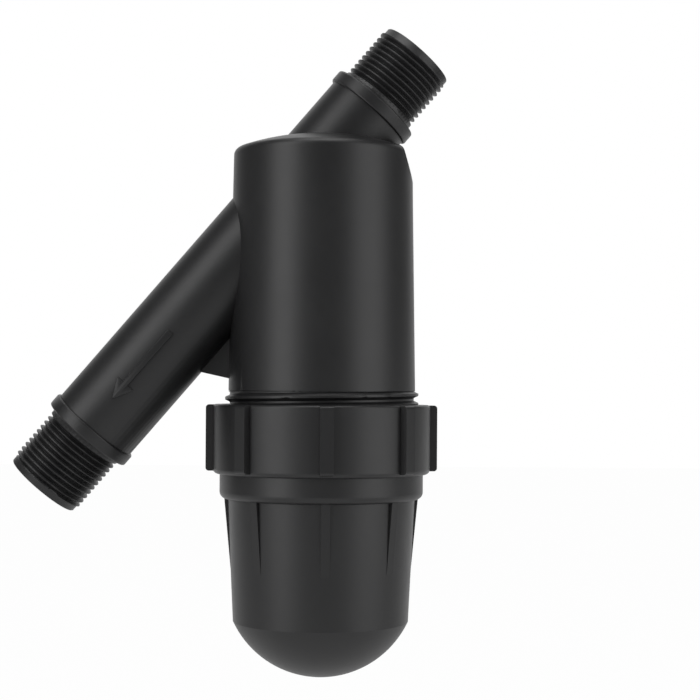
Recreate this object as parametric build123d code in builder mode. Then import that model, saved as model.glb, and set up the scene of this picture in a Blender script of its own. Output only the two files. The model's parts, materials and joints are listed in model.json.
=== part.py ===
"""Screen filter with two slanted pipe ports, in millimetres.

An upright chamber is crossed by one slanted line of ports. Water comes in at the upper port, falls
into the middle of a cage with a fine screen, leaves through the screen and runs out of the lower
port. A bowl screws onto the foot of the chamber and holds the cage against its seat.

The origin is the middle of the inlet collar's face, where a fitting stops, and +Z is up along the
chamber. Heights in the profiles are measured from the point where the port line crosses the
chamber's axis.
"""

import os
from math import cos, radians, sin, sqrt

from build123d import *

# Port line: both ports lie on it, the inlet up to the right and the outlet down to the left
port_rise = 49.3
inlet_reach = 58.2
outlet_reach = 173.2
tube_d = 36.6
port_thread_d = 33.25
inlet_thread_length = 25.6
outlet_thread_length = 27.3
port_lead = 1.0
collar_d = 38.8
collar_width = 5.2
collar_edge = 0.8

# Port bores, each of them wide to this depth and then narrower into the chamber
inlet_bore_d = 25.0
inlet_bore_depth = 36.0
inlet_inner_d = 24.0
outlet_bore_d = 26.0
outlet_bore_depth = 96.0
outlet_inner_d = 24.5
bore_overrun = 0.5

# Chamber of the housing, a little narrower at its top for the mould, with a crowned head
chamber_d = 75.7
chamber_draft = 1.7
chamber_wall = 4.25
chamber_drop = 92.3
shoulder_rise = 4.8
crown_height = 6.6
ceiling_rise = 2.7
top_edge = 3.0
relief_angle = 71.2
relief_foot = 7.9

# Web between the outlet tube and the chamber
web_thickness = 5.0
web_foot_rise = 4.4
web_corner_rise = 7.3
web_lean = 1.6

# Spigot with the bowl's thread, modelled as a plain cylinder over the crests
thread_proud = 1.35
thread_depth = 1.9
thread_lead = 0.9
thread_length = 30.0
spigot_length = 37.5
lip_step = 0.3
mouth_edge = 0.8

# Clearances
running_gap = 0.3
seat_gap = 0.3
gasket_gap = 0.15
held_gap = 0.05

# Bowl: nut ring, collar and cup moulded as one, screwed on until this much thread still shows
thread_showing = 5.5
nut_wall = 4.5
nut_height = 28.0
nut_edge = 1.2
nut_foot_edge = 2.0
nut_mouth = 1.0
lip_relief = 1.5
bowl_collar_step = 2.8
bowl_collar_height = 10.2
bowl_collar_edge = 3.0
cup_step = 3.3
cup_wall = 3.5
sump_depth = 12.2
dome_swell = 1.3
dome_depth = 22.6

# Eight grips on the nut ring and eight tapering ribs below the collar, in line with them
grip_count = 8
grip_turn = 3.5
grip_proud = 2.85
grip_width = 5.3
grip_height = 26.9
grip_drop = 0.2
grip_edge = 1.3
rib_width = 3.6
rib_proud = 1.3
rib_length = 28.0

# Flat gasket between the spigot's end and the bowl's ledge
gasket_thickness = 2.5

# Cartridge cage, which stands clear of the chamber's wall all round
cage_clear = 3.1
cage_wall = 5.95
cage_head_gap = 1.0
neck_step = 4.9
neck_wall = 3.6
neck_height = 8.9
neck_edge = 2.2
groove_height = 4.0
top_band = 5.6
window_heights = (33.6, 38.5, 31.1, 24.0)
cage_ring = 5.3
bottom_band = 6.0
cage_lip_step = 1.0
cage_lip_height = 3.0
screen_stop = 1.35
cage_rib_count = 4
cage_rib_face = 5.3
cage_rib_base = 10.6
cage_shoulder = 2.6

# Fine screen and the two sealing rings on the cage
screen_wall = 0.4
o_ring_section = 3.5
top_groove_depth = 0.45
bottom_ring_proud = 0.4

# Ribs in the dome on which the cage stands
foot_rib_count = 8
foot_rib_width = 2.2
foot_rib_inset = 0.8
socket_height = 11.0
socket_lead = 1.2

# Port line and chamber axis in the part's own frame
port_x = cos(radians(port_rise))
port_z = sin(radians(port_rise))
inlet_collar = inlet_reach - inlet_thread_length
outlet_collar = outlet_thread_length - outlet_reach
crossing = Vector(-inlet_collar * port_x, 0, -inlet_collar * port_z)
port_direction = Vector(port_x, 0, port_z)
chamber_axis = Axis(crossing, (0, 0, 1))
port_axis = Axis(crossing, port_direction)
half_section = Plane(origin=crossing, x_dir=(1, 0, 0), z_dir=(0, -1, 0))
port_section = Plane(origin=crossing, x_dir=port_direction, z_dir=(0, -1, 0))


def radial_plane(angle):
    """Upright plane through the chamber axis: x is the radius and y the height."""
    a = radians(angle)
    return Plane(origin=crossing, x_dir=(cos(a), sin(a), 0), z_dir=(sin(a), -cos(a), 0))


def port_plane(distance):
    """Plane square to the port line, this far from the crossing towards the inlet."""
    return Plane(origin=crossing + port_direction * distance, x_dir=(0, 1, 0), z_dir=port_direction)


def level_plane(height):
    """Level plane centred on the chamber axis."""
    return Plane(origin=crossing + Vector(0, 0, height), x_dir=(1, 0, 0), z_dir=(0, 0, 1))


# Heights of the housing, from the crossing, and its radii
ceiling = ceiling_rise
wall_end = -chamber_drop
thread_foot = wall_end - thread_length
spigot_end = wall_end - spigot_length
chamber_foot_r = chamber_d / 2
chamber_top_r = chamber_foot_r - chamber_draft
chamber_bore_top_r = chamber_top_r - chamber_wall
chamber_bore_foot_r = chamber_foot_r - chamber_wall
crown_top = shoulder_rise + crown_height
crown_r = (chamber_top_r**2 + crown_height**2) / 2 / crown_height
thread_r = chamber_foot_r + thread_proud
thread_root_r = thread_r - thread_depth
lip_r = thread_root_r - lip_step

# Heights of the cartridge
cage_head = ceiling - cage_head_gap
neck_foot = cage_head - neck_height
groove_foot = neck_foot - groove_height
window_top = groove_foot - top_band
window_tops = []
next_top = window_top
for window_height in window_heights:
    window_tops.append(next_top)
    next_top -= window_height + cage_ring
window_foot = next_top + cage_ring
lip_top = window_foot - bottom_band - groove_height
cage_foot = lip_top - cage_lip_height
top_ring_height = (neck_foot + groove_foot) / 2
bottom_ring_height = lip_top + groove_height / 2

# Radii of the cartridge
cage_r = chamber_bore_foot_r - cage_clear
cage_bore_r = cage_r - cage_wall
screen_r = cage_bore_r - held_gap
cage_lip_r = cage_r - cage_lip_step
cage_lip_bore_r = cage_bore_r - screen_stop
neck_r = cage_r - neck_step
neck_bore_r = neck_r - neck_wall
top_groove_r = neck_r - top_groove_depth
top_ring_r = top_groove_r + held_gap + o_ring_section / 2
bottom_ring_r = cage_r + bottom_ring_proud - o_ring_section / 2
bottom_groove_r = bottom_ring_r - o_ring_section / 2 - held_gap

# Seat in the housing's head
seat_bore_r = neck_r + running_gap
seal_bore_r = top_ring_r + o_ring_section / 2 + running_gap
seal_top = neck_foot + seat_gap
seal_foot = groove_foot - seat_gap
seat_foot = seal_foot - (chamber_bore_top_r - seal_bore_r)

with BuildPart() as housing:
    # Chamber and spigot, turned about the chamber axis
    with BuildSketch(half_section):
        with BuildLine():
            Polyline(
                (chamber_top_r, shoulder_rise),
                (chamber_foot_r, wall_end),
                (thread_root_r, wall_end),
                (thread_r, wall_end - thread_lead),
                (thread_r, thread_foot + thread_depth),
                (thread_root_r, thread_foot),
                (lip_r, thread_foot),
                (lip_r, spigot_end),
                (0, spigot_end),
                (0, crown_top),
            )
            RadiusArc((0, crown_top), (chamber_top_r, shoulder_rise), crown_r)
        make_face()
    revolve(axis=chamber_axis)

    # Flat on the shoulder, which clears what screws onto the inlet
    with BuildSketch(half_section):
        with BuildLine():
            foot_x = chamber_top_r + chamber_draft * relief_foot / chamber_drop
            relief_rise = crown_top + relief_foot + top_edge
            relief_run = relief_rise * cos(radians(relief_angle)) / sin(radians(relief_angle))
            Polyline(
                (foot_x, -relief_foot),
                (foot_x - relief_run, relief_rise - relief_foot),
                (foot_x + relief_run, relief_rise - relief_foot),
                close=True,
            )
        make_face()
    extrude(amount=chamber_d, both=True, mode=Mode.SUBTRACT)
    fillet(housing.faces().sort_by(Axis.Z)[-1].edges(), radius=top_edge)

    # Both ports with their collars, turned about the port line
    with BuildSketch(port_section) as port_profile:
        with BuildLine():
            Polyline(
                (-outlet_reach, 0),
                (-outlet_reach, port_thread_d / 2 - port_lead),
                (-outlet_reach + port_lead, port_thread_d / 2),
                (outlet_collar, port_thread_d / 2),
                (outlet_collar, collar_d / 2),
                (outlet_collar + collar_width, collar_d / 2),
                (outlet_collar + collar_width, tube_d / 2),
                (inlet_collar - collar_width, tube_d / 2),
                (inlet_collar - collar_width, collar_d / 2),
                (inlet_collar, collar_d / 2),
                (inlet_collar, port_thread_d / 2),
                (inlet_reach - port_lead, port_thread_d / 2),
                (inlet_reach, port_thread_d / 2 - port_lead),
                (inlet_reach, 0),
                close=True,
            )
        make_face()
        fillet(port_profile.vertices().group_by(Axis.Y)[-1], radius=collar_edge)
    revolve(axis=port_axis)

    # Web in the corner below the outlet tube
    with BuildSketch(half_section):
        with BuildLine():
            tube_middle = (tube_d + outlet_bore_d) / 4
            web_top_x = -chamber_bore_top_r
            web_corner = wall_end + web_corner_rise
            web_out_x = (web_corner * port_x + tube_d / 2) / port_z
            Polyline(
                (web_out_x, web_corner),
                (chamber_wall / 2 - chamber_foot_r, wall_end + web_foot_rise),
                (web_top_x, (web_top_x * port_z - tube_middle) / port_x),
                (web_out_x - web_lean, (web_out_x * port_z - tube_middle) / port_x),
                close=True,
            )
        make_face()
    extrude(amount=web_thickness / 2, both=True)

    # Inside of the chamber: cage seat, sealing bore and the long bore down to the mouth
    with BuildSketch(half_section):
        with BuildLine():
            Polyline(
                (0, ceiling),
                (seat_bore_r, ceiling),
                (seat_bore_r, seal_top),
                (seal_bore_r, seal_top),
                (seal_bore_r, seal_foot),
                (chamber_bore_top_r, seat_foot),
                (chamber_bore_foot_r, spigot_end + mouth_edge),
                (chamber_bore_foot_r + mouth_edge, spigot_end),
                (0, spigot_end),
                close=True,
            )
        make_face()
    revolve(axis=chamber_axis, mode=Mode.SUBTRACT)

    # Inlet bore, down to where it is wholly open into the seat
    inlet_bore_end = (ceiling - inlet_inner_d / 2 * port_x) / port_z - bore_overrun
    with BuildSketch(port_plane(inlet_bore_end)):
        Circle(inlet_inner_d / 2)
    extrude(amount=inlet_reach - inlet_bore_end, mode=Mode.SUBTRACT)
    with BuildSketch(port_plane(inlet_reach - inlet_bore_depth)):
        Circle(inlet_bore_d / 2)
    extrude(amount=inlet_bore_depth, mode=Mode.SUBTRACT)

    # Outlet bore, which starts under the cage seat
    outlet_bore_end = (seat_foot - outlet_inner_d / 2 * port_x) / port_z - bore_overrun
    with BuildSketch(port_plane(-outlet_reach)):
        Circle(outlet_inner_d / 2)
    extrude(amount=outlet_reach + outlet_bore_end, mode=Mode.SUBTRACT)
    with BuildSketch(port_plane(-outlet_reach)):
        Circle(outlet_bore_d / 2)
    extrude(amount=outlet_bore_depth, mode=Mode.SUBTRACT)
housing.part.label = "housing"

# Heights and radii of the bowl
nut_top = wall_end - thread_showing
nut_foot = nut_top - nut_height
collar_foot = nut_foot - bowl_collar_height
socket_foot = cage_foot - seat_gap
socket_top = socket_foot + socket_height
cup_foot = socket_foot - sump_depth
cup_height = collar_foot - cup_foot
dome_tip = cup_foot - dome_depth
nut_bore_r = thread_r + running_gap
nut_r = nut_bore_r + nut_wall
grip_r = nut_r + grip_proud
bowl_collar_r = nut_r - bowl_collar_step
cup_top_r = bowl_collar_r - cup_step
dome_r = cup_top_r + dome_swell
dome_centre = dome_tip + dome_r
cup_foot_r = sqrt(dome_r**2 - (dome_centre - cup_foot) ** 2)
inner_dome_r = dome_r - cup_wall
inner_foot_r = sqrt(inner_dome_r**2 - (dome_centre - cup_foot) ** 2)
lip_bore_r = lip_r + running_gap
lip_bore_top = thread_foot - lip_relief
ledge = spigot_end - gasket_thickness - 2 * gasket_gap
socket_r = bottom_ring_r + o_ring_section / 2 + running_gap
cup_slope = (cup_top_r - cup_foot_r) / cup_height
socket_wall_r = cup_top_r - cup_slope * (collar_foot - socket_top) - cup_wall
rib_end_r = cup_top_r - cup_slope * rib_length
grip_angles = [-90 + grip_turn + 360 / grip_count * k for k in range(grip_count)]

with BuildPart() as bowl:
    # Nut ring, collar, cup and dome in one turned wall
    with BuildSketch(half_section) as bowl_profile:
        with BuildLine():
            outside = Polyline(
                (nut_bore_r + nut_mouth, nut_top),
                (nut_r, nut_top),
                (nut_r, nut_foot),
                (bowl_collar_r, nut_foot),
                (bowl_collar_r, collar_foot),
                (cup_top_r, collar_foot),
                (cup_foot_r, cup_foot),
            )
            RadiusArc(outside @ 1, (0, dome_tip), dome_r)
            Line((0, dome_tip), (0, dome_tip + cup_wall))
            inner_dome = RadiusArc((0, dome_tip + cup_wall), (inner_foot_r, cup_foot), -inner_dome_r)
            Polyline(
                inner_dome @ 1,
                (socket_r, socket_foot),
                (socket_r, socket_top),
                (socket_wall_r, socket_top + socket_lead),
                (cup_top_r - cup_wall, ledge),
                (lip_bore_r, ledge),
                (lip_bore_r, lip_bore_top),
                (nut_bore_r, lip_bore_top),
                (nut_bore_r, nut_top - nut_mouth),
                (nut_bore_r + nut_mouth, nut_top),
            )
        make_face()
        collar_corners = bowl_profile.vertices().group_by(Axis.X)[-2]
        fillet(collar_corners.sort_by(Axis.Y)[0], radius=bowl_collar_edge)
        fillet(bowl_profile.vertices().group_by(Axis.X)[-1].sort_by(Axis.Y)[-1], radius=nut_edge)
        fillet(bowl_profile.vertices().group_by(Axis.X)[-1], radius=nut_foot_edge)
    revolve(axis=chamber_axis)

    for angle in grip_angles:
        # Grip on the nut ring, rounded at its outer corners
        with BuildSketch(radial_plane(angle)) as grip_profile:
            with BuildLine():
                Polyline(
                    (nut_r - nut_edge, nut_top - grip_drop),
                    (grip_r, nut_top - grip_drop),
                    (grip_r, nut_top - grip_height),
                    (nut_r - nut_edge, nut_top - grip_height),
                    close=True,
                )
            make_face()
            fillet(grip_profile.vertices().group_by(Axis.X)[-1], radius=grip_edge)
        extrude(amount=grip_width / 2, both=True)

        # Rib under the collar, tapering into the cup
        with BuildSketch(radial_plane(angle)):
            with BuildLine():
                Polyline(
                    (cup_top_r - cup_wall / 2, collar_foot + bowl_collar_edge),
                    (cup_top_r + rib_proud, collar_foot + bowl_collar_edge),
                    (cup_top_r + rib_proud, collar_foot),
                    (rib_end_r, collar_foot - rib_length),
                    (rib_end_r - cup_wall / 2, collar_foot - rib_length),
                    close=True,
                )
            make_face()
        extrude(amount=rib_width / 2, both=True)

    # Ribs inside the dome, level at the top, on which the cage stands
    shell_middle_r = dome_r - cup_wall / 2
    shell_foot_r = sqrt(shell_middle_r**2 - (dome_centre - cup_foot) ** 2)
    foot_rib_r = cage_lip_bore_r + foot_rib_inset
    for k in range(foot_rib_count):
        with BuildSketch(radial_plane(grip_angles[0] + 360 / foot_rib_count * (k + 0.5))):
            with BuildLine():
                rib_back = Line((shell_foot_r, socket_foot), (shell_foot_r, cup_foot))
                rib_low = (foot_rib_r, dome_centre - sqrt(shell_middle_r**2 - foot_rib_r**2))
                RadiusArc(rib_back @ 1, rib_low, shell_middle_r)
                Polyline(rib_low, (foot_rib_r, socket_foot), (shell_foot_r, socket_foot))
            make_face()
        extrude(amount=foot_rib_width / 2, both=True)
bowl.part.label = "bowl"

with BuildPart() as bowl_gasket:
    with BuildSketch(half_section):
        with Locations(((lip_r + chamber_bore_foot_r) / 2, spigot_end - gasket_gap - gasket_thickness / 2)):
            Rectangle(lip_r - chamber_bore_foot_r, gasket_thickness)
    revolve(axis=chamber_axis)
bowl_gasket.part.label = "bowl_gasket"

with BuildPart() as cartridge_frame:
    # Neck, sealing groove and head band
    with BuildSketch(half_section) as head_profile:
        with BuildLine():
            Polyline(
                (neck_bore_r, cage_head),
                (neck_r, cage_head),
                (neck_r, neck_foot),
                (top_groove_r, neck_foot),
                (top_groove_r, groove_foot),
                (neck_r, groove_foot),
                (cage_r, groove_foot - cage_shoulder),
                (cage_r, window_top),
                (cage_bore_r, window_top),
                (cage_bore_r, groove_foot),
                (neck_bore_r, groove_foot),
                close=True,
            )
        make_face()
        fillet(head_profile.vertices().group_by(Axis.Y)[-1].sort_by(Axis.X)[-1], radius=neck_edge)
    revolve(axis=chamber_axis)

    # Foot band, sealing groove and the open lip
    with BuildSketch(half_section):
        with BuildLine():
            Polyline(
                (cage_bore_r, window_foot),
                (cage_r, window_foot),
                (cage_r, lip_top + groove_height),
                (bottom_groove_r, lip_top + groove_height),
                (bottom_groove_r, lip_top),
                (cage_lip_r, lip_top),
                (cage_lip_r, cage_foot),
                (cage_lip_bore_r, cage_foot),
                (cage_lip_bore_r, lip_top),
                (cage_bore_r, lip_top),
                close=True,
            )
        make_face()
    revolve(axis=chamber_axis)

    # Hoops between the rows of windows
    for top in window_tops[1:]:
        with BuildSketch(half_section):
            with Locations(((cage_r + cage_bore_r) / 2, top + cage_ring / 2)):
                Rectangle(cage_r - cage_bore_r, cage_ring)
        revolve(axis=chamber_axis)

    # Upright ribs, wider at the screen than outside
    with BuildSketch(level_plane(window_foot)):
        with PolarLocations(0, cage_rib_count):
            Polygon(
                (cage_bore_r - cage_shoulder, -cage_rib_base / 2),
                (cage_r - held_gap, -cage_rib_face / 2),
                (cage_r - held_gap, cage_rib_face / 2),
                (cage_bore_r - cage_shoulder, cage_rib_base / 2),
                align=None,
            )
        Circle(cage_bore_r, mode=Mode.SUBTRACT)
    extrude(amount=window_top - window_foot)
cartridge_frame.part.label = "cartridge_frame"

with BuildPart() as mesh_screen:
    with BuildSketch(level_plane(lip_top + held_gap)):
        Circle(screen_r)
        Circle(screen_r - screen_wall, mode=Mode.SUBTRACT)
    extrude(amount=groove_foot - lip_top - 2 * held_gap)
mesh_screen.part.label = "mesh_screen"

with BuildPart() as top_o_ring:
    with BuildSketch(half_section):
        with Locations((top_ring_r, top_ring_height)):
            Circle(o_ring_section / 2)
    revolve(axis=chamber_axis)
top_o_ring.part.label = "top_o_ring"

with BuildPart() as bottom_o_ring:
    with BuildSketch(half_section):
        with Locations((bottom_ring_r, bottom_ring_height)):
            Circle(o_ring_section / 2)
    revolve(axis=chamber_axis)
bottom_o_ring.part.label = "bottom_o_ring"

os.makedirs("parts", exist_ok=True)
export_step(housing.part, "parts/housing.step")
export_step(bowl.part, "parts/bowl.step")
export_step(bowl_gasket.part, "parts/bowl_gasket.step")
export_step(cartridge_frame.part, "parts/cartridge_frame.step")
export_step(mesh_screen.part, "parts/mesh_screen.step")
export_step(top_o_ring.part, "parts/top_o_ring.step")
export_step(bottom_o_ring.part, "parts/bottom_o_ring.step")
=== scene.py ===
"""Screen filter: its real threads, flow arrow and finishes, with the studio around it.

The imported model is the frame. The housing and the bowl are copies of their solids with the threads
cut in, and every other piece keeps its solid and gets its finish here. Everything is in metres, and
sizes are written in millimetres times MM. Heights are measured from the crossing, the point where
the port line meets the chamber's axis, and so are distances along that line.
"""

import json
from math import cos, pi, radians, sin, tau

import bmesh
import bpy
from mathutils import Matrix, Vector
from mathutils.kdtree import KDTree


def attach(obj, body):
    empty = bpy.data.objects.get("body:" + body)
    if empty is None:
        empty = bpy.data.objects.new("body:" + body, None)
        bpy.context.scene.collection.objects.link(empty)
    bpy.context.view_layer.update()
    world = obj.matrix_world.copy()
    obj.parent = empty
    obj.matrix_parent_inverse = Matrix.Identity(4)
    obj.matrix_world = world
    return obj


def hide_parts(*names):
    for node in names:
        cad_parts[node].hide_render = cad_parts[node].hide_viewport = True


MM = 0.001

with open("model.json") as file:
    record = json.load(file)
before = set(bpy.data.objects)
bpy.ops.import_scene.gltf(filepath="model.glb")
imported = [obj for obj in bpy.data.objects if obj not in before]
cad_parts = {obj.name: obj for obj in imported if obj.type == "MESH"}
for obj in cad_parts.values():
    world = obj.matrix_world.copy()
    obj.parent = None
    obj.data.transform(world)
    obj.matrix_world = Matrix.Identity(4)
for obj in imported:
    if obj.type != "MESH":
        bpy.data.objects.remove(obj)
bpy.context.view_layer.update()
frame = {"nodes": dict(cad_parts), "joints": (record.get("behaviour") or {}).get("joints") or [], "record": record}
solids = frame["nodes"]
mounts = {mount["name"]: mount for mount in frame["record"]["mounts"]}
hinge = next(joint for joint in frame["joints"] if joint["name"] == "bowl_turn")
crossing = Vector(hinge["pos_m"])

# Port line, which rises from the outlet's collar to the inlet's collar
PORTS = ("inlet_port", "outlet_port")
TUBE_R = 18.3 * MM
port_axis = Vector(mounts["inlet_port"]["axis"])
lower_collar, upper_collar = sorted(
    (Vector(mounts[name]["pos_m"]) - crossing).dot(port_axis) for name in PORTS
)

# Bowl thread: a rounded 4 mm thread on the spigot, with its partner inside the nut ring
BOWL_PITCH = 4.0 * MM
BOWL_CREST_R = 39.2 * MM
BOWL_ROOT_R = 37.3 * MM
BOWL_ROOT_FLAT = 0.9 * MM
BOWL_CREST_FLAT = 0.9 * MM
WALL_END = -92.3 * MM
FRONT_CREST = -94.5 * MM
FRONT_GROOVE = FRONT_CREST - BOWL_PITCH / 4
NUT_BORE_R = 39.5 * MM
NUT_THREAD_END = -125.0 * MM
THREAD_PLAY = 0.28 * MM

# Port thread: the 1 inch pipe thread, 11 to the inch, turned down to a plain lead at the end
PORT_PITCH = 25.4 / 11 * MM
PORT_DEPTH = 1.48 * MM
PORT_ROOT_FLAT = 0.15 * MM
PORT_CREST_FLAT = 0.14 * MM
PORT_END = 1.0 * MM
LEAD_LENGTH = 2.4 * MM
LEAD_DROP = 0.85 * MM
LEAD_CHAMFER = 0.3 * MM

# Rounding of a thread's crests and roots, as a share of its depth
THREAD_EASE = 0.14

# Flow arrow on the outlet tube, facing the viewer: its ends are distances along the port line
ARROW_START = -91.5 * MM
ARROW_NECK = -118.6 * MM
ARROW_TIP = -126.6 * MM
ARROW_SHAFT = 2.6 * MM
ARROW_HEAD = 8.2 * MM
ARROW_PROUD = 0.75 * MM
ARROW_SUNK = 1.0 * MM
ARROW_EDGE = 0.28 * MM
ARROW_STRIPS = 14

# Mark of the mould's gate, on the cage's front rib at its middle hoop
CAGE_R = 30.5 * MM
GATE_R = 3.4 * MM
GATE_RIM = 0.8 * MM
GATE_STUB_R = 1.5 * MM
GATE_HEIGHT = -96.9 * MM
GATE_PROUD = 0.35 * MM
GATE_SUNK = 0.5 * MM
GATE_DISH = 0.2 * MM
GATE_STUB_PROUD = 0.35 * MM

# Shading: corners closer than this are one corner, and edges are sharp from these angles in degrees
SAME_PLACE = 0.003 * MM
SHARP = 32
ARROW_SHARP = 40

# Where a thread is: this far past a collar or wall, outside two radii and inside the nut's
BESIDE = 0.02 * MM
SPIGOT_SKIN_R = BOWL_ROOT_R - 0.3 * MM
PORT_SKIN_R = TUBE_R - 4 * MM
NUT_SKIN_R = NUT_BORE_R + 0.5 * MM

# Weave of the screen
WEFT_WAVES_PER_M = 1400.0
WARP_WAVES_AROUND = 220.0

# Camera, measured from the photograph: level, at 0.406 mm for each of its 700 pixels
PHOTO = 700
PIXEL = 0.406 * MM
EYE_ROW = 390.0
AXIS_COLUMN = 321.9
CROSSING_ROW = 163.7
ROLL = -0.36
DISTANCE = 0.670
SENSOR = 36.0

# Floor: its depth and reach, and how white the camera and the reflections see it
FLOOR = crossing.z - 0.40
FLOOR_REACH = 6.0
FLOOR_GREY = 0.82
FLOOR_SEEN = 0.98
FLOOR_MIRRORED = 0.35

# Reflections see the floor grow whiter behind the part, from a start by a slope for each metre
SWEEP_START = 0.3
SWEEP_SLOPE = 0.5
SWEEP_MOST = 0.62

# Room: dim, with white paper behind the part that fades in over a range of directions
ROOM_LIGHT = 0.15
PAPER_TILT = 0.45
PAPER_EDGE = 0.72
PAPER_SLOPE = 3.6

# Point that the lamps face
LAMP_AIM = crossing + Vector((0, 0, -0.10))


def placed(bm, name, body=None, matrix=None):
    """Makes the mesh an object, which rides on a body if it is a piece of the part."""
    if matrix:
        bmesh.ops.transform(bm, matrix=matrix, verts=bm.verts)
    mesh = bpy.data.meshes.new(name)
    bm.to_mesh(mesh)
    bm.free()
    piece = bpy.data.objects.new(name, mesh)
    bpy.context.scene.collection.objects.link(piece)
    if body:
        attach(piece, body)
    return piece


def joined_copy(node, name, body):
    """A copy of a solid with its loose triangles joined, ready to be cut."""
    bm = bmesh.new()
    bm.from_mesh(solids[node].data)
    bmesh.ops.remove_doubles(bm, verts=bm.verts, dist=0.001 * MM)
    bmesh.ops.dissolve_degenerate(bm, dist=0.0005 * MM, edges=bm.edges)
    return placed(bm, name, body)


def combine(piece, tool, operation):
    """Cuts a tool out of the piece or joins it on, and removes the tool."""
    modifier = piece.modifiers.new("combine", "BOOLEAN")
    modifier.operation = operation
    modifier.solver = "EXACT"
    modifier.object = tool
    depsgraph = bpy.context.evaluated_depsgraph_get()
    piece.data = bpy.data.meshes.new_from_object(piece.evaluated_get(depsgraph))
    piece.modifiers.clear()
    bpy.data.objects.remove(tool)


def shade(mesh, sharp_degrees):
    """Smooth shading, with a hard edge wherever the surface turns by more than the angle."""
    mesh.shade_smooth()
    mesh.set_sharp_from_angle(angle=radians(sharp_degrees))


def shade_like_solid(piece, node, is_threaded):
    """Smooth shading, with the solid's own exact normals wherever no thread has been cut."""
    mesh = piece.data
    shade(mesh, SHARP)
    source = solids[node].data
    near = KDTree(len(source.loops))
    known = []
    for face in source.polygons:
        for corner in face.loop_indices:
            near.insert(source.vertices[source.loops[corner].vertex_index].co, len(known))
            known.append((face.normal.copy(), source.corner_normals[corner].vector.copy()))
    near.balance()
    matches = [
        None if is_threaded(vert.co) else [found[1] for found in near.find_range(vert.co, SAME_PLACE)]
        for vert in mesh.vertices
    ]
    normals = [corner.vector.copy() for corner in mesh.corner_normals]
    for face in mesh.polygons:
        for corner in face.loop_indices:
            match = matches[mesh.loops[corner].vertex_index]
            if match:
                best = max(match, key=lambda k: known[k][0].dot(face.normal))
                normals[corner] = known[best][1]
    mesh.normals_split_custom_set(normals)


def everything(bm):
    """All of a mesh, as the mesh operators ask for it."""
    return bm.verts[:] + bm.edges[:] + bm.faces[:]


def of_kind(geometry, kind):
    """The vertices, edges or faces among what an operator made."""
    return [element for element in geometry if isinstance(element, kind)]


def close_holes(bm):
    """Gives every open rim of the mesh a face."""
    bmesh.ops.holes_fill(bm, edges=[edge for edge in bm.edges if edge.is_boundary], sides=0)


def closed_loop(bm, profile):
    """Vertices and edges of a profile of (radius, height) pairs."""
    verts = [bm.verts.new((r, 0, z)) for r, z in profile]
    edges = [bm.edges.new((verts[k - 1], verts[k])) for k in range(len(verts))]
    return verts, edges


def helix(profile, pitch, turns, start, run_out, draw, steps=64):
    """Closed body that a profile of (radius, height) pairs sweeps up a right-hand helix.

    Over the run-out at each end, in turns, the profile moves outwards by the draw.
    """
    bm = bmesh.new()
    ring, edges = closed_loop(bm, [(r, start + z) for r, z in profile])

    def moved_out(step):
        turn = step / steps
        return draw * max(0.0, 1 - turn / run_out, 1 - (turns - turn) / run_out)

    bmesh.ops.translate(bm, verts=ring, vec=(moved_out(0), 0, 0))
    for step in range(round(turns * steps)):
        swept = bmesh.ops.spin(
            bm,
            geom=edges,
            cent=(0, 0, 0),
            axis=(0, 0, 1),
            dvec=(0, 0, pitch / steps),
            angle=tau / steps,
            steps=1,
            use_merge=False,
        )
        edges = of_kind(swept["geom_last"], bmesh.types.BMEdge)
        ring = of_kind(swept["geom_last"], bmesh.types.BMVert)
        turned = (step + 1) / steps * tau
        shift = moved_out(step + 1) - moved_out(step)
        bmesh.ops.translate(bm, verts=ring, vec=(shift * cos(turned), shift * sin(turned), 0))
    close_holes(bm)
    bmesh.ops.recalc_face_normals(bm, faces=bm.faces)
    return bm


def groove(crest_r, depth, pitch, crest_flat, root_flat, over):
    """Profile of the cut between two crests, with a straight part outside them."""
    wide = (pitch - crest_flat) / 2
    narrow = root_flat / 2
    root = crest_r - depth
    lean = (wide - narrow) / depth
    ease = depth * THREAD_EASE
    swell = ease * 0.35
    tuck = ease * 0.3
    half = [
        (crest_r + over, wide),
        (crest_r, wide),
        (crest_r - ease, wide - ease * lean - swell),
        (root + ease, narrow + ease * lean + swell),
        (root, narrow - tuck),
    ]
    return half + [(r, -z) for r, z in reversed(half)]


def thread_spigot(housing):
    """Cuts the male bowl thread, which stops at the end of the chamber's wall."""
    depth = BOWL_CREST_R - BOWL_ROOT_R
    profile = groove(BOWL_CREST_R, depth, BOWL_PITCH, BOWL_CREST_FLAT, BOWL_ROOT_FLAT, over=0.8 * MM)
    start = FRONT_GROOVE - 8 * BOWL_PITCH
    cutter = helix(profile, BOWL_PITCH, turns=10, start=start, run_out=0.3, draw=2.5 * MM)
    bmesh.ops.bisect_plane(
        cutter,
        geom=everything(cutter),
        plane_co=(0, 0, WALL_END),
        plane_no=(0, 0, 1),
        clear_outer=True,
    )
    close_holes(cutter)
    tool = placed(cutter, "spigot_cutter", matrix=Matrix.Translation(crossing))
    combine(housing, tool, "DIFFERENCE")


def port_matrix(mount):
    """Turns a body made along +Z onto a port, from its collar outwards."""
    outwards = Vector(mount["axis"])
    across = Vector((0, 1, 0))
    turn = Matrix((outwards.cross(across) * -1, across, outwards)).transposed()
    return Matrix.Translation(Vector(mount["pos_m"])) @ turn.to_4x4()


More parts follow.
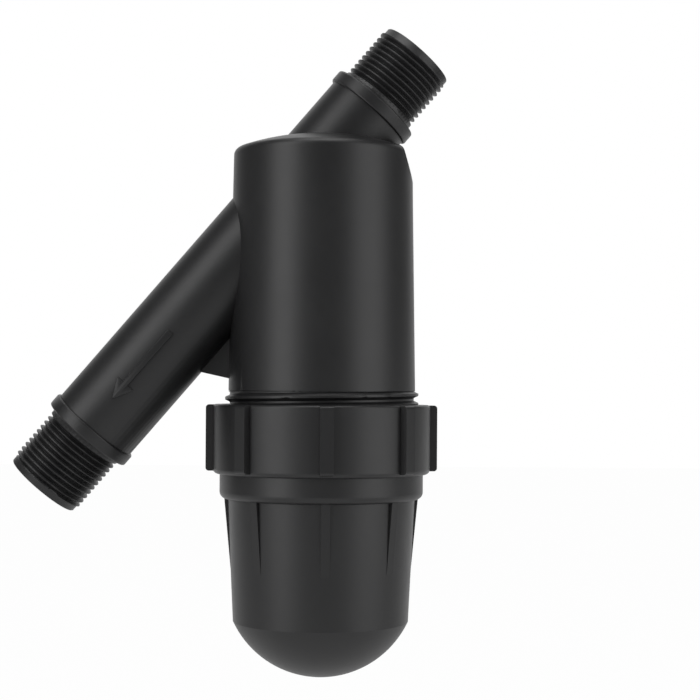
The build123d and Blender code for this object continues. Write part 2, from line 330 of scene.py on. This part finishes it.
def lead_cutter(lead_r, crest_r, start, end):
    """Ring that turns a port's end down to its lead, with a slope up to the crests and a chamfer."""
    over = 1.0 * MM
    profile = [
        (crest_r + over, start - LEAD_DROP - over),
        (crest_r + over, end + over),
        (lead_r - LEAD_CHAMFER - over, end + over),
        (lead_r - LEAD_CHAMFER, end),
        (lead_r, end - LEAD_CHAMFER),
        (lead_r, start),
        (crest_r + 0.2 * MM, start - LEAD_DROP),
    ]
    bm = bmesh.new()
    edges = closed_loop(bm, profile)[1]
    bmesh.ops.spin(
        bm, geom=edges, cent=(0, 0, 0), axis=(0, 0, 1), angle=tau, steps=96, use_merge=True
    )
    bmesh.ops.recalc_face_normals(bm, faces=bm.faces)
    return bm


def thread_port(housing, name):
    """Cuts a port's pipe thread from its collar outwards, and then its lead."""
    mount = mounts[name]
    matrix = port_matrix(mount)
    crest_r = mount["dims"]["r_mm"] * MM
    end = mount["dims"]["length_mm"] * MM + PORT_END
    lead = end - LEAD_LENGTH
    profile = groove(crest_r, PORT_DEPTH, PORT_PITCH, PORT_CREST_FLAT, PORT_ROOT_FLAT, over=0.25 * MM)
    first = (PORT_PITCH - PORT_CREST_FLAT) / 2 + 0.1 * MM
    turns = (lead - first) / PORT_PITCH
    cutter = helix(profile, PORT_PITCH, turns, start=first, run_out=0.12, draw=1.8 * MM)
    combine(housing, placed(cutter, name + "_cutter", matrix=matrix), "DIFFERENCE")
    ring = lead_cutter(crest_r - LEAD_DROP, crest_r, lead, end)
    combine(housing, placed(ring, name + "_lead", matrix=matrix), "DIFFERENCE")


def on_housing_thread(point):
    """True where a thread was cut into the housing."""
    offset = point - crossing
    if offset.z < WALL_END - BESIDE and offset.xy.length > SPIGOT_SKIN_R:
        return True
    along = offset.dot(port_axis)
    from_line = (offset - port_axis * along).length
    beyond_collar = along < lower_collar - BESIDE or along > upper_collar + BESIDE
    return beyond_collar and from_line > PORT_SKIN_R


def flow_arrow():
    """Arrow with a rounded top edge, drawn flat and then wrapped round the outlet tube."""
    shaft = ARROW_SHAFT / 2
    head = ARROW_HEAD / 2
    outline = [
        (ARROW_START, shaft),
        (ARROW_START, -shaft),
        (ARROW_NECK, -shaft),
        (ARROW_NECK, -head),
        (ARROW_TIP, 0),
        (ARROW_NECK, head),
        (ARROW_NECK, shaft),
    ]
    bm = bmesh.new()
    foot = bm.faces.new([bm.verts.new((along, across, -ARROW_SUNK)) for along, across in outline])
    raised = bmesh.ops.extrude_face_region(bm, geom=[foot])
    top = of_kind(raised["geom"], bmesh.types.BMVert)
    bmesh.ops.translate(bm, verts=top, vec=(0, 0, ARROW_PROUD + ARROW_SUNK))
    rim = [edge for edge in bm.edges if all(vert.co.z > 0 for vert in edge.verts)]
    bmesh.ops.bevel(
        bm, geom=rim, offset=ARROW_EDGE, affect="EDGES", segments=3, profile=0.5, material=-1
    )
    for strip in range(1, ARROW_STRIPS):
        bmesh.ops.bisect_plane(
            bm,
            geom=everything(bm),
            plane_co=(0, ARROW_HEAD * (strip / ARROW_STRIPS - 0.5), 0),
            plane_no=(0, 1, 0),
        )
    for vert in bm.verts:
        along, across, height = vert.co
        turn = across / TUBE_R
        radius = TUBE_R + height
        vert.co = (along, radius * sin(turn), radius * cos(turn))
    bmesh.ops.recalc_face_normals(bm, faces=bm.faces)
    front = Vector((0, -1, 0))
    facing = Matrix((port_axis, front.cross(port_axis), front)).transposed().to_4x4()
    matrix = Matrix.Translation(crossing) @ facing
    arrow = placed(bm, "flow_arrow", "housing", matrix)
    shade(arrow.data, ARROW_SHARP)
    return arrow


def thread_nut(bowl):
    """Joins the female bowl thread to the nut ring, with play between it and the spigot's."""
    flank = (BOWL_PITCH - BOWL_CREST_FLAT - BOWL_ROOT_FLAT) / 2 / (BOWL_CREST_R - BOWL_ROOT_R)
    tip_r = BOWL_ROOT_R + THREAD_PLAY
    tip_half = BOWL_ROOT_FLAT / 2 + THREAD_PLAY * flank - THREAD_PLAY
    foot_half = tip_half + (NUT_BORE_R - tip_r) * flank
    foot_r = NUT_BORE_R + 0.6 * MM
    half = [(foot_r, foot_half), (NUT_BORE_R, foot_half), (tip_r, tip_half)]
    profile = half + [(r, -z) for r, z in reversed(half)]
    start = FRONT_GROOVE - 6 * BOWL_PITCH
    ridge = helix(profile, BOWL_PITCH, turns=5, start=start, run_out=0.25, draw=1.9 * MM)
    combine(bowl, placed(ridge, "ridge_body", matrix=Matrix.Translation(crossing)), "UNION")


def on_bowl_thread(point):
    """True where the nut ring carries its thread."""
    offset = point - crossing
    return offset.xy.length < NUT_SKIN_R and FRONT_CREST > offset.z > NUT_THREAD_END


def gate_mark():
    """Round pad with a broken-off stub in its middle, where the cage's mould was filled."""
    bm = bmesh.new()
    pad = bmesh.ops.create_circle(bm, cap_ends=True, radius=GATE_R, segments=32)
    bmesh.ops.translate(bm, verts=pad["verts"], vec=(0, 0, -GATE_SUNK))
    raised = bmesh.ops.extrude_face_region(bm, geom=bm.faces[:])
    top = of_kind(raised["geom"], bmesh.types.BMVert)
    bmesh.ops.translate(bm, verts=top, vec=(0, 0, GATE_PROUD + GATE_SUNK))
    cap = of_kind(raised["geom"], bmesh.types.BMFace)
    bmesh.ops.inset_region(bm, faces=cap, thickness=GATE_RIM, depth=-GATE_DISH)
    slope = GATE_R - GATE_RIM - GATE_STUB_R
    bmesh.ops.inset_region(bm, faces=cap, thickness=slope, depth=GATE_STUB_PROUD)
    bmesh.ops.recalc_face_normals(bm, faces=bm.faces)
    place = Matrix.Translation(crossing + Vector((0, -CAGE_R, GATE_HEIGHT)))
    matrix = place @ Matrix.Rotation(pi / 2, 4, "X")
    mark = placed(bm, "gate_mark", "cartridge", matrix)
    shade(mark.data, SHARP)
    return mark


class Value:
    """A number in a material, on which Python's operators add Math nodes."""

    def __init__(self, finish, socket):
        self.finish = finish
        self.socket = socket

    def maths(self, operation, *others):
        node = self.finish.tree.nodes.new("ShaderNodeMath")
        node.operation = operation
        for socket, operand in zip(node.inputs, (self, *others)):
            self.finish.feed(socket, operand)
        return Value(self.finish, node.outputs[0])

    def __add__(self, other):
        return self.maths("ADD", other)

    __radd__ = __add__

    def __sub__(self, other):
        return self.maths("SUBTRACT", other)

    def __mul__(self, other):
        return self.maths("MULTIPLY", other)


class Finish:
    """A material or world under way: every node comes from one method."""

    def __init__(self, owner):
        owner.use_nodes = True
        self.owner = owner
        self.tree = owner.node_tree
        self.tree.nodes.clear()

    def feed(self, socket, value):
        if isinstance(value, Value):
            value = value.socket
        if isinstance(value, bpy.types.NodeSocket):
            self.tree.links.new(value, socket)
        else:
            socket.default_value = value

    def node(self, kind, settings=None, **inputs):
        made = self.tree.nodes.new("ShaderNode" + kind)
        for key, setting in (settings or {}).items():
            setattr(made, key, setting)
        for key, value in inputs.items():
            self.feed(made.inputs[key.replace("_", " ")], value)
        return made

    def place(self):
        return self.node("TexCoord").outputs["Object"]

    def axes(self, vector):
        return [Value(self, output) for output in self.node("SeparateXYZ", Vector=vector).outputs]

    def ray(self, kind):
        return Value(self, self.node("LightPath").outputs["Is " + kind + " Ray"])

    def noise(self, scale, detail, roughness):
        made = self.node("TexNoise", Vector=self.place(), Scale=scale, Detail=detail, Roughness=roughness)
        return Value(self, made.outputs["Fac"])

    def blend(self, factor, first, second):
        made = self.node("Mix", settings={"data_type": "RGBA"})
        for index, value in ((0, factor), (6, first), (7, second)):
            self.feed(made.inputs[index], value)
        return made.outputs[2]

    def mix(self, factor, first, second):
        made = self.node("MixShader")
        for index, value in enumerate((factor, first.outputs[0], second.outputs[0])):
            self.feed(made.inputs[index], value)
        return made

    def end(self, shader, pieces):
        self.node("OutputMaterial", Surface=shader.outputs[0])
        for piece in pieces:
            piece.data.materials.clear()
            piece.data.materials.append(self.owner)


def moulded(name, pieces, colour, worn, rough, grain):
    """Satin moulded plastic: fine grain, faint flow clouds and a little handling dust."""
    finish = Finish(bpy.data.materials.new(name))
    clouds = finish.noise(38.0, 4.0, 0.6)
    grain_height = finish.noise(2600.0, 2.0, 0.6)
    scuffs = finish.noise(240.0, 6.0, 0.75)
    tint = finish.blend(clouds * 0.7 + scuffs * 0.3, colour, worn)
    bump = finish.node("Bump", Height=grain_height, Strength=grain, Distance=0.05 * MM)
    shader = finish.node(
        "BsdfPrincipled",
        Base_Color=tint,
        Roughness=rough + (clouds - 0.5) * 0.10 + (scuffs - 0.5) * 0.08,
        Normal=bump.outputs[0],
        IOR=1.5,
    )
    finish.end(shader, pieces)


def woven_steel(name, pieces):
    """Fine square-woven gauze, with its weave wound round the chamber's axis and its low points painted darker as
    painted shade.
    """
    finish = Finish(bpy.data.materials.new(name))
    place = finish.node("Mapping", Vector=finish.place(), Location=(-crossing.x, 0, 0))
    x, y, z = finish.axes(place.outputs[0])
    turn = y.maths("ARCTAN2", x)
    weft_wave = (z * (tau * WEFT_WAVES_PER_M)).maths("SINE")
    warp_wave = (turn * WARP_WAVES_AROUND).maths("SINE")
    height = weft_wave * warp_wave * 0.5 + 0.5
    # Painted shade: the weave's low points are coloured darker and its high points lighter, following the bump's
    # height.
    tint = finish.blend(height, (0.30, 0.27, 0.265, 1), (0.66, 0.61, 0.60, 1))
    bump = finish.node("Bump", Height=height, Strength=0.6, Distance=0.12 * MM)
    shader = finish.node(
        "BsdfPrincipled",
        Base_Color=tint,
        Metallic=0.85,
        Roughness=0.34 + height * 0.12,
        Normal=bump.outputs[0],
    )
    finish.end(shader, pieces)


def pale_floor():
    """Pale floor that the camera sees as white, and reflections as a sweep that whitens behind."""
    bm = bmesh.new()
    bmesh.ops.create_grid(bm, x_segments=1, y_segments=1, size=FLOOR_REACH)
    floor = placed(bm, "floor", matrix=Matrix.Translation((0, 0, FLOOR)))
    finish = Finish(bpy.data.materials.new("floor"))
    plain = finish.node("BsdfDiffuse", Color=(FLOOR_GREY, FLOOR_GREY, FLOOR_GREY, 1))
    white = finish.node("Emission", Color=(1, 1, 1, 1), Strength=1.0)
    behind = finish.axes(finish.place())[1]
    rise = (behind - SWEEP_START) * SWEEP_SLOPE
    sweep = rise.maths("MAXIMUM", 0.0).maths("MINIMUM", SWEEP_MOST)
    mirrored = finish.ray("Glossy") * (sweep + FLOOR_MIRRORED)
    finish.end(finish.mix(finish.ray("Camera") * FLOOR_SEEN + mirrored, plain, white), [floor])


def white_studio():
    """Dim room with white paper behind the part, which the camera sees as white all round."""
    world = bpy.data.worlds.new("studio")
    bpy.context.scene.world = world
    studio = Finish(world)
    behind, above = studio.axes(studio.node("TexCoord").outputs["Generated"])[1:]
    paper = (behind + above * PAPER_TILT - PAPER_EDGE) * PAPER_SLOPE
    room = studio.node("Background", Color=(1, 1, 1, 1), Strength=ROOM_LIGHT)
    white = studio.node("Background", Color=(1, 1, 1, 1), Strength=1.0)
    mixed = studio.mix(studio.ray("Camera").maths("MAXIMUM", paper), room, white)
    studio.node("OutputWorld", Surface=mixed.outputs[0])


def softbox(name, azimuth, height, distance, wide, tall, watts):
    """Soft rectangular lamp at an azimuth in degrees from the viewer's side, aimed at the part."""
    lamp = bpy.data.lights.new(name, "AREA")
    lamp.shape = "RECTANGLE"
    lamp.size = wide
    lamp.size_y = tall
    lamp.energy = watts
    stand = bpy.data.objects.new(name, lamp)
    bpy.context.scene.collection.objects.link(stand)
    side = radians(azimuth)
    stand.location = LAMP_AIM + Vector((sin(side) * distance, -cos(side) * distance, height))
    stand.rotation_euler = (LAMP_AIM - stand.location).to_track_quat("-Z", "Y").to_euler()


def photo_camera():
    """Camera that sees the part as the photograph does, shifted so that its axis stays level."""
    optics = bpy.data.cameras.new("camera")
    optics.sensor_width = SENSOR
    optics.lens = DISTANCE / PIXEL / PHOTO * SENSOR
    optics.shift_y = (EYE_ROW - PHOTO / 2) / PHOTO
    optics.clip_end = 50
    camera = bpy.data.objects.new("camera", optics)
    bpy.context.scene.collection.objects.link(camera)
    camera.location = (
        crossing.x + (PHOTO / 2 - AXIS_COLUMN) * PIXEL,
        -DISTANCE,
        crossing.z - (EYE_ROW - CROSSING_ROW) * PIXEL,
    )
    camera.rotation_euler = (pi / 2, radians(ROLL), 0)
    bpy.context.scene.camera = camera


# Housing, with its three male threads and the flow arrow
housing = joined_copy("housing", "housing_threaded", "housing")
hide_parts("housing")
thread_spigot(housing)
for port in PORTS:
    thread_port(housing, port)
shade_like_solid(housing, "housing", on_housing_thread)
arrow = flow_arrow()

# Bowl, with the female thread inside its nut ring
bowl = joined_copy("bowl", "bowl_threaded", "bowl")
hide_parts("bowl")
thread_nut(bowl)
shade_like_solid(bowl, "bowl", on_bowl_thread)

# Cartridge, with the mark of its mould's gate
gate = gate_mark()

# Finishes
moulded(
    "black_moulding",
    [housing, bowl, arrow],
    colour=(0.0055, 0.0055, 0.006, 1),
    worn=(0.010, 0.010, 0.0105, 1),
    rough=0.42,
    grain=0.35,
)
moulded(
    "red_moulding",
    [solids["cartridge_frame"]],
    colour=(0.86, 0.020, 0.019, 1),
    worn=(0.94, 0.028, 0.026, 1),
    rough=0.30,
    grain=0.15,
)
moulded(
    "red_gate",
    [gate],
    colour=(0.86, 0.16, 0.14, 1),
    worn=(0.94, 0.32, 0.28, 1),
    rough=0.5,
    grain=0.5,
)
moulded(
    "black_rubber",
    [solids["bowl_gasket"], solids["top_o_ring"], solids["bottom_o_ring"]],
    colour=(0.016, 0.016, 0.016, 1),
    worn=(0.028, 0.027, 0.026, 1),
    rough=0.55,
    grain=0.5,
)
woven_steel("steel_gauze", [solids["mesh_screen"]])

# Studio
pale_floor()
white_studio()
softbox("left_box", azimuth=-48, height=0.45, distance=1.2, wide=0.7, tall=1.6, watts=9.1)
softbox("right_box", azimuth=61, height=0.25, distance=1.2, wide=0.95, tall=1.4, watts=7.2)
softbox("top_box", azimuth=0, height=1.3, distance=0.25, wide=0.9, tall=0.9, watts=7.0)
photo_camera()
bpy.context.scene.view_settings.view_transform = "Standard"
